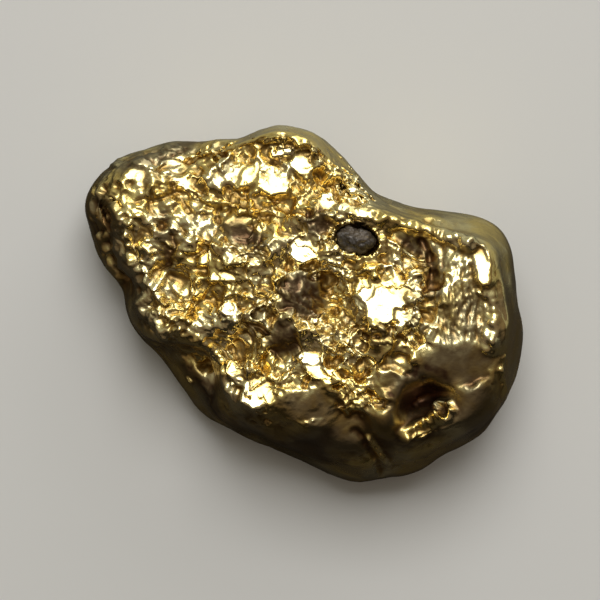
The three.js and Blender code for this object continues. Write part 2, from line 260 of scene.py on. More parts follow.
@dataclass(frozen=True)
class Facets:
    """A scatter of small flat facets, each leaning its own way, with creases where they meet.

    A facet's own random numbers are read at its seed's place times one of the draws.

    Attributes:
        cell: the usual distance between neighbouring facets.
        slope: the usual steepness of a facet.
        step: how much neighbours differ in height, as a share of the cell.
        crease: how deep the creases between them are, as a share of the cell.
        offset: moves the scatter, so that two of them differ.
        sharpness: how abruptly one facet turns into the next.
        warp: how irregular their outlines are.
        stretch: how many times longer than wide they are.
    """

    ALONG: ClassVar[Vector] = Vector((0.8, -0.6, 0.0))  # direction of their length, of length 1
    WARP_FINENESS: ClassVar[float] = 1.9
    SLANT_DRAW: ClassVar[float] = 7.3
    SLANT_START: ClassVar[Vector] = Vector((0.37, 0.11, 0.53))
    STEP_DRAW: ClassVar[float] = 9.1
    LOT_DRAW: ClassVar[float] = 4.7
    MEAN_DRAW: ClassVar[float] = 0.5
    MEAN_SLANT: ClassVar[Vector] = Vector((0.5, 0.5, 0.5))
    SLANT_GAIN: ClassVar[float] = 2.4  # makes the usual slant of the draws a slope of about 1
    CREASE_WIDTH: ClassVar[Ramp] = Ramp(0.16, 0.0)  # distance from the border, in cells
    CREASE_BREAKS: ClassVar[Ramp] = Ramp(-0.1, 0.25)  # noise under which a border has no crease
    CREASE_FINENESS: ClassVar[float] = 0.8

    cell: float
    slope: float
    step: float
    crease: float
    offset: float
    sharpness: float = 14.0
    warp: float = 0.3
    stretch: float = 1.0

    def sample(self, point: Vector) -> tuple[float, float]:
        """Measures how far the facets stand out at a point, and which facet it is.

        Args:
            point: a point of the surface.

        Returns:
            The height above or below the plain surface, and the facet's lot, which is a number
            from 0 to 1 of its own.
        """
        at = point - self.ALONG * (1.0 - 1.0 / self.stretch) * point.dot(self.ALONG)
        at = at / self.cell + Vector((self.offset, self.offset, self.offset))
        at += noise.noise_vector(at * self.WARP_FINENESS) * self.warp
        distances, seeds = noise.voronoi(at)
        nearest = distances[0]
        total = 0.0
        lots = 0.0
        weights = 0.0
        for distance, seed in zip(distances, seeds):
            weight = math.exp(self.sharpness * (nearest - distance))
            slant = noise.cell_vector(seed * self.SLANT_DRAW + self.SLANT_START) - self.MEAN_SLANT
            own = self.step * (noise.cell(seed * self.STEP_DRAW) - self.MEAN_DRAW)
            own += self.SLANT_GAIN * self.slope * slant.dot(at - seed)
            total += weight * own
            lots += weight * noise.cell(seed * self.LOT_DRAW)
            weights += weight
        edge = self.CREASE_WIDTH.at(distances[1] - nearest)
        edge *= self.CREASE_BREAKS.at(noise.noise(at * self.CREASE_FINENESS))
        return self.cell * (total / weights - self.crease * edge), lots / weights


@dataclass(frozen=True)
class Line:
    """A long low form seen from above, which rises or sinks along a line of straight stretches.

    Attributes:
        points: the line's corners.
        half_width: half its width.
        rise: how far it stands out along its middle, or sinks where negative.
    """

    points: tuple[tuple[float, float], ...]
    half_width: float
    rise: float

    def crest(self, x: float, y: float) -> float:
        """Measures how near a place is to the middle of the form.

        Args:
            x: the place along the nugget's length.
            y: the place across the nugget.

        Returns:
            1 along the middle, falling smoothly to 0 at the form's edge and beyond.
        """
        least = math.inf
        for (ax, ay), (bx, by) in zip(self.points, self.points[1:]):
            length_squared = (bx - ax) ** 2 + (by - ay) ** 2
            share = min(1.0, max(0.0, ((x - ax) * (bx - ax) + (y - ay) * (by - ay)) / length_squared))
            least = min(least, math.hypot(x - lerp(ax, bx, share), y - lerp(ay, by, share)))
        distance = least / self.half_width
        return (1.0 - distance * distance) ** 2 if distance < 1.0 else 0.0

    def height(self, x: float, y: float) -> float:
        """How far the form stands out at a place."""
        return self.rise * self.crest(x, y)


@dataclass(frozen=True)
class Wear:
    """How much of the hackly surface is left from place to place.

    Attributes:
        side_share: what is left of it on the sides.
        under_share: what is left of it underneath.
        band_share: what the band by the broad end keeps of the upper face's.
        upright_share: what an upright wall keeps of its share.
        rim_wear: how much of it is gone along the rim.
        patches: smooth patches of the upper face, and how much of it is gone in each.
    """

    PATCH_EDGE: ClassVar[Ramp] = Ramp(1.1, 0.6)
    THIN_END: ClassVar[Ramp] = Ramp(-1.2, -2.6)  # x over which the broad part thins out
    BROAD_FACING: ClassVar[Ramp] = Ramp(0.4, 0.8)  # normal's z from the sides to the upper face
    THIN_FACING: ClassVar[Ramp] = Ramp(0.0, 0.35)  # the same at the thin end, which is rough lower
    UNDER_FACING: ClassVar[Ramp] = Ramp(0.0, -0.5)
    UPRIGHT_FROM_ABOVE: ClassVar[Ramp] = Ramp(0.55, 0.0)
    UPRIGHT_FROM_BELOW: ClassVar[Ramp] = Ramp(-0.5, 0.0)
    SWELL_SIZE: ClassVar[float] = 1.3
    SWELL: ClassVar[Ramp] = Ramp(-0.4, 0.4)  # noise between the most and the least worn places
    MOST_WORN: ClassVar[float] = 0.75
    LEAST_WORN: ClassVar[float] = 1.1

    side_share: float = 0.1
    under_share: float = 0.4
    band_share: float = 0.2
    upright_share: float = 0.5
    rim_wear: float = 0.8
    patches: tuple[tuple[Oval, float], ...] = (
        (Oval(3.85, -1.55, 1.3, 0.75, 5), 0.9),
        (Oval(2.95, -2.5, 1.0, 0.8, 20), 0.85),
        (Oval(4.2, -2.6, 0.8, 0.8, 0), 0.8),
        (Oval(2.1, -2.1, 0.4, 0.45, 0), 0.7),
        (Oval(-0.03, -2.64, 1.1, 0.6, 5), 0.9),
        (Oval(-3.9, -0.75, 0.9, 0.5, -30), 0.3),
        (Oval(-0.1, 0.15, 0.6, 0.55, 0), 0.6),
        (Oval(-0.54, -0.91, 0.4, 0.4, 0), 0.5),
        (Oval(-1.62, 1.72, 0.5, 0.28, -25), 0.6),
        (Oval(2.75, 1.4, 0.55, 0.32, -20), 0.75),
        (Oval(-2.9, -2.15, 1.35, 0.7, -49), 0.85),
        (Oval(1.3, -3.3, 2.3, 0.65, 5), 0.92),
    )

    def left(self, point: Vector, normal: Vector, band: float, rim: tuple[Line, ...]) -> float:
        """Measures how hackly the surface still is at a point.

        Args:
            point: the point.
            normal: the surface's normal there.
            band: 1 on the band by the broad end, 0 off it.
            rim: the rim's lines.

        Returns:
            About 0 where it is worn smooth, to about 1.
        """
        facing = self.BROAD_FACING.towards(self.THIN_FACING, self.THIN_END.at(point.x))
        share = lerp(self.side_share, 1.0, facing.at(normal.z))
        share = max(share, self.under_share * self.UNDER_FACING.at(normal.z))
        share *= lerp(1.0, self.band_share, band)
        for oval, gone in self.patches:
            share *= 1.0 - gone * self.PATCH_EDGE.at(oval.distance(point.x, point.y))
        for line in rim:
            share *= 1.0 - self.rim_wear * line.crest(point.x, point.y)
        upright = self.UPRIGHT_FROM_ABOVE.at(normal.z) * self.UPRIGHT_FROM_BELOW.at(normal.z)
        share *= lerp(1.0, self.upright_share, upright)
        swell = self.SWELL.at(noise.noise(point / self.SWELL_SIZE))
        return share * lerp(self.MOST_WORN, self.LEAST_WORN, swell)


@dataclass(frozen=True)
class Ribs:
    """The fine ribs that run down the band by the broad end.

    Attributes:
        layers: each layer's usual size along the three axes, and its rise.
    """

    OUTER_END: ClassVar[Ramp] = Ramp(4.7, 4.4)  # x towards the rim
    LOWER_END: ClassVar[Ramp] = Ramp(-1.4, -0.8)  # y towards the smooth lower right
    FACING: ClassVar[Ramp] = Ramp(0.4, 0.8)  # normal's z

    layers: tuple[tuple[tuple[float, float, float], float], ...] = (
        ((0.11, 0.6, 1.5), 0.04),
        ((0.05, 0.16, 1.5), 0.05),
    )

    def height(self, point: Vector, normal: Vector, band: float) -> float:
        """Measures how far the ribs stand out.

        Args:
            point: a point of the surface.
            normal: the surface's normal there.
            band: 1 on the band, 0 off it.

        Returns:
            Their height at the point.
        """
        share = band * self.OUTER_END.at(point.x)
        share *= self.LOWER_END.at(point.y) * self.FACING.at(normal.z)
        if share <= 0.0:
            return 0.0
        return share * sum(
            rise * noise.noise(Vector((point.x / size_x, point.y / size_y, point.z / size_z)))
            for (size_x, size_y, size_z), rise in self.layers
        )


@dataclass(frozen=True)
class Grit:
    """Granules that lie in patches of the hackly ground.

    Attributes:
        granules: the granules.
        patches: where they lie close together.
        stray_share: how high they stand at most between the patches.
    """

    PATCH_EDGE: ClassVar[Ramp] = Ramp(1.1, 0.7)
    STRAY_SIZE: ClassVar[float] = 0.9
    STRAY_START: ClassVar[Vector] = Vector((4.0, 1.0, 7.0))
    STRAY: ClassVar[Ramp] = Ramp(-0.05, 0.3)
    ON_ROUGH: ClassVar[Ramp] = Ramp(0.2, 0.7)

    granules: Granules = Granules(cell=0.17, rise=0.1, offset=5.3)
    patches: tuple[Oval, ...] = (
        Oval(-1.6, 0.9, 1.6, 0.8, -30),
        Oval(-4.5, 2.1, 0.7, 1.2, 10),
        Oval(-3.2, 2.6, 0.9, 0.5, 20),
        Oval(1.0, 0.3, 0.6, 0.9, 20),
        Oval(1.6, -1.2, 0.7, 0.4, 0),
    )
    stray_share: float = 0.8

    def height(self, point: Vector, rough: float) -> float:
        """Measures how far the grit stands out.

        Args:
            point: a point of the surface.
            rough: how hackly the surface is there.

        Returns:
            Its height at the point.
        """
        stray = self.STRAY.at(noise.noise(point / self.STRAY_SIZE + self.STRAY_START))
        share = self.stray_share * stray
        for oval in self.patches:
            share = max(share, self.PATCH_EDGE.at(oval.distance(point.x, point.y)))
        share *= self.ON_ROUGH.at(rough)
        return share * self.granules.height(point) if share > 0.0 else 0.0


@dataclass(frozen=True)
class FilmAndShade:
    """The dark brown on the upper face: partly a film on the gold, partly painted shade and painted dark
    reflection over the pits, the recess and the brown faces.

    Attributes:
        patches: where it lies, and how thick it is in each patch, from 0 to 1.
        line_wear: how quickly it is gone towards the crest of a raised line.
        on_crests: what is left of it outside the hollows.
    """

    PATCH_EDGE: ClassVar[Ramp] = Ramp(1.2, 0.65)
    HEIGHT: ClassVar[Ramp] = Ramp(BELLY_MM - 0.2, BELLY_MM + 0.3)
    FACING: ClassVar[Ramp] = Ramp(-0.2, 0.1)  # normal's z
    IN_HOLLOWS: ClassVar[Ramp] = Ramp(0.02, 0.14)
    COARSE_RAGS: ClassVar[tuple[float, float]] = (0.4, 0.3)  # size, and how far they move the edge
    FINE_RAGS: ClassVar[tuple[float, float]] = (0.13, 0.12)

    # Where the dark brown lies: painted shade and dark reflection over the large pit, the recess, the lower
    # side and the brown faces, partly a film on the gold.
    patches: tuple[tuple[Oval, float], ...] = (
        (Oval(2.8, -2.2, 1.1, 0.6, 24), 0.97),
        (Oval(3.1, -2.75, 0.7, 0.5, 20), 0.8),
        (Oval(3.85, -1.55, 1.0, 0.45, 0), 0.72),
        (Oval(4.3, -2.5, 0.6, 0.9, 0), 0.8),
        (Oval(2.2, -2.1, 0.35, 0.45, 0), 0.6),
        (Oval(2.8, 1.4, 0.52, 0.3, -20), 0.85),
        (Oval(3.15, 0.7, 0.34, 0.85, 5), 0.75),
        (Oval(3.85, -0.5, 0.7, 0.75, 0), 0.5),
        (Oval(-0.05, -2.7, 1.1, 0.42, 5), 0.45),
        (Oval(1.3, -3.4, 2.4, 0.55, 8), 0.8),
        (Oval(-1.0, -3.3, 1.2, 0.4, -25), 0.6),
        (Oval(-0.1, 0.12, 0.7, 0.62, 0), 0.93),
        (Oval(-0.54, -0.95, 0.5, 0.5, 0), 0.88),
        (Oval(-5.1, 2.0, 0.5, 0.9, 0), 0.7),
        (Oval(-4.4, 0.4, 0.3, 1.3, 25), 0.55),
        (Oval(-3.6, 3.75, 1.4, 0.28, 20), 0.75),
        (Oval(-3.4, 1.5, 0.22, 0.9, 10), 0.7),
        (Oval(-2.9, -2.15, 1.3, 0.6, -49), 0.93),
        (Oval(0.3, 2.0, 0.42, 0.38, 0), 0.9),
        (Oval(-1.55, 1.65, 0.65, 0.32, -35), 0.92),
        (Oval(1.8, -0.95, 0.35, 0.4, 0), 0.7),
        (Oval(1.15, -0.3, 0.25, 0.5, 0), 0.35),
        (Oval(-1.2, -0.7, 0.3, 0.7, 0), 0.5),
    )
    line_wear: float = 2.2
    on_crests: float = 0.8

    def thickness(self, point: Vector, normal: Vector, hollow: float, lines: tuple[Line, ...]) -> float:
        """Measures how thick the film and the painted shade lie at a point.

        Args:
            point: the point.
            normal: the surface's normal there.
            hollow: how far the point lies in a hollow, from 0 to 1.
            lines: the long forms of the upper face, whose crests wear it off.

        Returns:
            A number from 0 for none to 1.
        """
        (coarse, far), (fine, near) = self.COARSE_RAGS, self.FINE_RAGS
        rags = far * noise.noise(point / coarse) + near * noise.noise(point / fine)
        facing = self.HEIGHT.at(point.z) * self.FACING.at(normal.z)
        if facing <= 0.0:
            return 0.0
        thick = 0.0
        for oval, share in self.patches:
            thick = max(thick, share * self.PATCH_EDGE.at(oval.distance(point.x, point.y) + rags))
        thick *= facing
        if thick > 0.0:
            for line in lines:
                if line.rise > 0.0:
                    thick *= max(0.0, 1.0 - self.line_wear * line.crest(point.x, point.y))
        return lerp(self.on_crests, 1.0, self.IN_HOLLOWS.at(hollow)) * thick


class Mark(Enum):
    """The attributes that the carving leaves on the gold for its finish."""

    HOLLOW = "hollow"
    # How thick the dark brown lies: partly film, partly painted shade and dark reflection.
    FILM_AND_SHADE = "film"
    LOT = "lot"


class Blend(Enum):
    """The ways in which a Map Range node passes from one end to the other."""

    STRAIGHT = "LINEAR"
    SMOOTH = "SMOOTHSTEP"


def feed(
    tree: bpy.types.NodeTree,
    socket: bpy.types.NodeSocket,
    value: float | Colour | bpy.types.NodeSocket,
) -> None:
    """Sets an input to a value, or links it to another node's output.

    Args:
        tree: the node tree.
        socket: the input.
        value: a number, a linear colour, a direction or an output.
    """
    if isinstance(value, bpy.types.NodeSocket):
        tree.links.new(value, socket)
    elif socket.type == "RGBA":
        socket.default_value = (*value, 1.0)
    else:
        socket.default_value = value


def mix_colours(
    tree: bpy.types.NodeTree,
    mask: bpy.types.NodeSocket,
    first: Colour | bpy.types.NodeSocket,
    second: Colour | bpy.types.NodeSocket,
) -> bpy.types.NodeSocket:
    """Mixes two colours by a mask.

    Args:
        tree: the node tree.
        mask: 0 for the first colour, 1 for the second.
        first: a linear colour or its output.
        second: a linear colour or its output.

    Returns:
        The mixed colour's output.
    """
    node = tree.nodes.new("ShaderNodeMix")
    node.data_type = "RGBA"
    feed(tree, node.inputs["Factor"], mask)
    feed(tree, node.inputs[MIX_FIRST], first)
    feed(tree, node.inputs[MIX_SECOND], second)
    return node.outputs[MIX_RESULT]


def map_range(
    tree: bpy.types.NodeTree,
    value: bpy.types.NodeSocket,
    source: tuple[float | bpy.types.NodeSocket, float | bpy.types.NodeSocket] = (0.0, 1.0),
    target: tuple[float | bpy.types.NodeSocket, float] = (0.0, 1.0),
    blend: Blend = Blend.STRAIGHT,
) -> bpy.types.NodeSocket:
    """Carries a value from one range over to another.

    Args:
        tree: the node tree.
        value: the value's output.
        source: the value's own range.
        target: what the two ends of that range become.
        blend: how the result passes from one end to the other.

    Returns:
        The result's output.
    """
    node = tree.nodes.new("ShaderNodeMapRange")
    node.interpolation_type = blend.value
    feed(tree, node.inputs["Value"], value)
    for names, ends in ((("From Min", "From Max"), source), (("To Min", "To Max"), target)):
        for name, end in zip(names, ends):
            feed(tree, node.inputs[name], end)
    return node.outputs["Result"]


def read_mark(tree: bpy.types.NodeTree, mark: Mark) -> bpy.types.NodeSocket:
    """Reads one of the attributes that the carving left.

    Args:
        tree: the gold's node tree.
        mark: which attribute.

    Returns:
        The output of its value.
    """
    node = tree.nodes.new("ShaderNodeAttribute")
    node.attribute_name = mark.value
    return node.outputs["Fac"]


def add_bump(
    tree: bpy.types.NodeTree, height: bpy.types.NodeSocket, strength: float
) -> bpy.types.NodeSocket:
    """Makes a normal with the finest roughness.

    Args:
        tree: the material's node tree.
        height: the output of the roughness's height.
        strength: how much of it shows.

    Returns:
        The normal's output.
    """
    node = tree.nodes.new("ShaderNodeBump")
    node.inputs["Strength"].default_value = strength
    node.inputs["Distance"].default_value = SPECK_DEPTH_MM * MM
    feed(tree, node.inputs["Height"], height)
    return node.outputs["Normal"]


def grain_group() -> bpy.types.NodeTree:
    """Finds or makes the node group for uneven patches and fine specks.

    Returns:
        A group that takes a place, a scale, a detail and a range, and gives a mask and a height.
    """
    known = bpy.data.node_groups.get("surface_grain")
    if known:
        return known
    group = bpy.data.node_groups.new("surface_grain", "ShaderNodeTree")
    sockets = group.interface
    sockets.new_socket("Place", in_out="INPUT", socket_type="NodeSocketVector")
    for name in ("Scale", "Detail", "Low", "High"):
        sockets.new_socket(name, in_out="INPUT", socket_type="NodeSocketFloat")
    for name in ("Mask", "Height"):
        sockets.new_socket(name, in_out="OUTPUT", socket_type="NodeSocketFloat")
    entry = group.nodes.new("NodeGroupInput").outputs
    leave = group.nodes.new("NodeGroupOutput").inputs
    cloud = group.nodes.new("ShaderNodeTexNoise")
    cloud.inputs["Roughness"].default_value = CLOUD_ROUGHNESS
    for given, wanted in (("Place", "Vector"), ("Scale", "Scale"), ("Detail", "Detail")):
        feed(group, cloud.inputs[wanted], entry[given])
    height = cloud.outputs["Fac"]
    mask = map_range(group, height, source=(entry["Low"], entry["High"]), blend=Blend.SMOOTH)
    feed(group, leave["Mask"], mask)
    feed(group, leave["Height"], height)
    return group


@dataclass(frozen=True)
class Patchiness:
    """One use of the grain group.

    Attributes:
        scale: how fine it is, per metre.
        detail: how many finer layers it has.
        low: the noise up to which its mask is 0.
        high: the noise from which its mask is 1.
    """

    scale: float
    detail: float
    low: float
    high: float

    def place(self, tree: bpy.types.NodeTree, place: bpy.types.Node) -> bpy.types.Node:
        """Puts the group into a material.

        Args:
            tree: the material's node tree.
            place: its Texture Coordinate node.

        Returns:
            The group's node.
        """
        node = tree.nodes.new("ShaderNodeGroup")
        node.node_tree = grain_group()
        values = {"Scale": self.scale, "Detail": self.detail, "Low": self.low, "High": self.high}
        feed(tree, node.inputs["Place"], place.outputs["Object"])
        for name, value in values.items():
            feed(tree, node.inputs[name], value)
        return node


@dataclass(frozen=True)
class GoldFinish:
    """Natural gold: bright where it is worn or broken, with painted shade in its hollows: a brown that
    deepens with their depth.

    Attributes:
        slot: the record's name for it; not used.
        bright: the colour of plain gold.
        pale: the colour of its paler patches.
        hollow_shade: the painted shade in the hollows, a brown mixed in by their depth.
        film_and_shade_brown: the dark brown of the film and of the painted shade and dark reflection.
        roughness_bright: the roughness of the brightest facets.
        roughness_satin: the roughness of the dullest facets.
        roughness_hollow: the roughness in the hollows.
        roughness_film_and_shade: the roughness under the film and the painted shade.
        satin_lots: the facets' lots between the brightest and the dullest.
        patches: how the pale patches lie.
        specks: the finest roughness.
        speck_strength: how much of it shows.
    """

    slot: str = "gold"
    bright: Colour = (0.96, 0.735, 0.26)
    pale: Colour = (0.98, 0.85, 0.47)
    # Painted shade: the brown that the hollows are darkened to, by their depth.
    hollow_shade: Colour = (0.37, 0.235, 0.075)
    # Partly film, partly painted shade and dark reflection: the dark brown of the patches.
    film_and_shade_brown: Colour = (0.1, 0.05, 0.028)
    roughness_bright: float = 0.18
    roughness_satin: float = 0.3
    roughness_hollow: float = 0.4
    roughness_film_and_shade: float = 0.4
    satin_lots: tuple[float, float] = (0.2, 0.9)
    patches: Patchiness = Patchiness(scale=900.0, detail=3.0, low=0.42, high=0.62)
    specks: Patchiness = Patchiness(scale=6500.0, detail=2.0, low=0.35, high=0.75)
    speck_strength: float = 0.5

    def material(self) -> bpy.types.Material:
        """Makes the material.

        Returns:
            A material for a piece that the carving has marked.
        """
        made = bpy.data.materials.new("natural_gold")
        made.use_nodes = True
        tree = made.node_tree
        shader = tree.nodes[SHADER].inputs
        place = tree.nodes.new("ShaderNodeTexCoord")
        hollow, film, lot = (read_mark(tree, mark) for mark in (Mark.HOLLOW, Mark.FILM_AND_SHADE, Mark.LOT))

        patches = self.patches.place(tree, place).outputs["Mask"]
        plain = mix_colours(tree, patches, self.bright, self.pale)
        # Painted shade: the hollows are darkened towards brown by their depth.
        hollow_shaded = mix_colours(tree, hollow, plain, self.hollow_shade)
        # Dark brown painted where the film mark lies: partly film, partly painted shade and dark
        # reflection.
        with_film_and_shade = mix_colours(tree, film, hollow_shaded, self.film_and_shade_brown)

        satin = map_range(
            tree, lot, source=self.satin_lots, target=(self.roughness_bright, self.roughness_satin)
        )
        rough = map_range(tree, hollow, target=(satin, self.roughness_hollow))
        dull = map_range(tree, film, target=(rough, self.roughness_film_and_shade))

        specks = self.specks.place(tree, place).outputs["Height"]
        feed(tree, shader["Metallic"], 1.0)
        feed(tree, shader["Base Color"], with_film_and_shade)
        feed(tree, shader["Roughness"], dull)
        feed(tree, shader["Normal"], add_bump(tree, specks, self.speck_strength))
        return made


@dataclass(frozen=True)
class MineralFinish:
    """The grain's iron mineral: grey-black, with a weak metallic sheen on its faces.

    Attributes:
        slot: the record's name for it; not used.
        dark: its darker colour.
        light: its lighter colour.
        metallic: how metallic its sheen is.
        roughness: the roughness of its smoothest and its roughest specks.
        patches: how the lighter patches lie.
        specks: the finest roughness.
        speck_strength: how much of it shows.
    """

    slot: str = "dark_mineral"
    dark: Colour = (0.048, 0.038, 0.029)
    light: Colour = (0.12, 0.095, 0.072)
    metallic: float = 0.2
    roughness: tuple[float, float] = (0.3, 0.6)
    patches: Patchiness = Patchiness(scale=2600.0, detail=4.0, low=0.4, high=0.65)
    specks: Patchiness = Patchiness(scale=9000.0, detail=2.0, low=0.35, high=0.75)
    speck_strength: float = 0.6

    def material(self) -> bpy.types.Material:
        """Makes the material.

        Returns:
            The material.
        """
        made = bpy.data.materials.new("iron_mineral")
        made.use_nodes = True
        tree = made.node_tree
        shader = tree.nodes[SHADER].inputs
        place = tree.nodes.new("ShaderNodeTexCoord")
        patches = self.patches.place(tree, place).outputs["Mask"]
        specks = self.specks.place(tree, place).outputs
        feed(tree, shader["Metallic"], self.metallic)
        feed(tree, shader["Base Color"], mix_colours(tree, patches, self.dark, self.light))
        feed(tree, shader["Roughness"], map_range(tree, specks["Mask"], target=self.roughness))
        feed(tree, shader["Normal"], add_bump(tree, specks["Height"], self.speck_strength))
        return made


def merged_copy(node: bpy.types.Object, merge: float) -> bmesh.types.BMesh:
    """Copies a solid's mesh and joins its loose triangles.

    Args:
        node: the solid's object.
        merge: the distance within which corners are joined, in metres.

    Returns:
        The copy as a closed mesh.
    """
    mesh = bmesh.new()
    mesh.from_mesh(node.data)
    bmesh.ops.remove_doubles(mesh, verts=mesh.verts, dist=merge)
    return mesh


def refine(
    mesh: bmesh.types.BMesh, cuts: int, rounds: int, edges: list[bmesh.types.BMEdge] | None = None
) -> None:
    """Divides edges and melts the coarse facets together.

    Args:
        mesh: the mesh to refine in place.
        cuts: how many cuts each edge gets.
        rounds: how many times the result is smoothed.
        edges: the edges to divide, or all of them.
    """
    bmesh.ops.subdivide_edges(
        mesh, edges=edges or mesh.edges[:], cuts=cuts, use_grid_fill=True, use_single_edge=True
    )
    smooth(mesh, rounds)
    mesh.normal_update()


def smooth(mesh: bmesh.types.BMesh, rounds: int) -> None:
    """Moves every corner halfway to the mean of its neighbours, several times.

    Args:
        mesh: the mesh to smooth in place.
        rounds: how many times.
    """
    for _ in range(rounds):
        bmesh.ops.smooth_vert(
            mesh, verts=mesh.verts[:], factor=0.5, use_axis_x=True, use_axis_y=True, use_axis_z=True
        )


def finish_piece(mesh: bmesh.types.BMesh, name: str, material: bpy.types.Material) -> bpy.types.Object:
    """Turns a finished bmesh into an object of the scene.

    Args:
        mesh: the mesh, which is freed.
        name: the piece's name.
        material: its material.

    Returns:
        The new object.
    """
    for face in mesh.faces:
        face.smooth = True
    data = bpy.data.meshes.new(name)
    mesh.to_mesh(data)
    mesh.free()
    data.materials.append(material)
    piece = bpy.data.objects.new(name, data)
    bpy.context.scene.collection.objects.link(piece)
    return piece


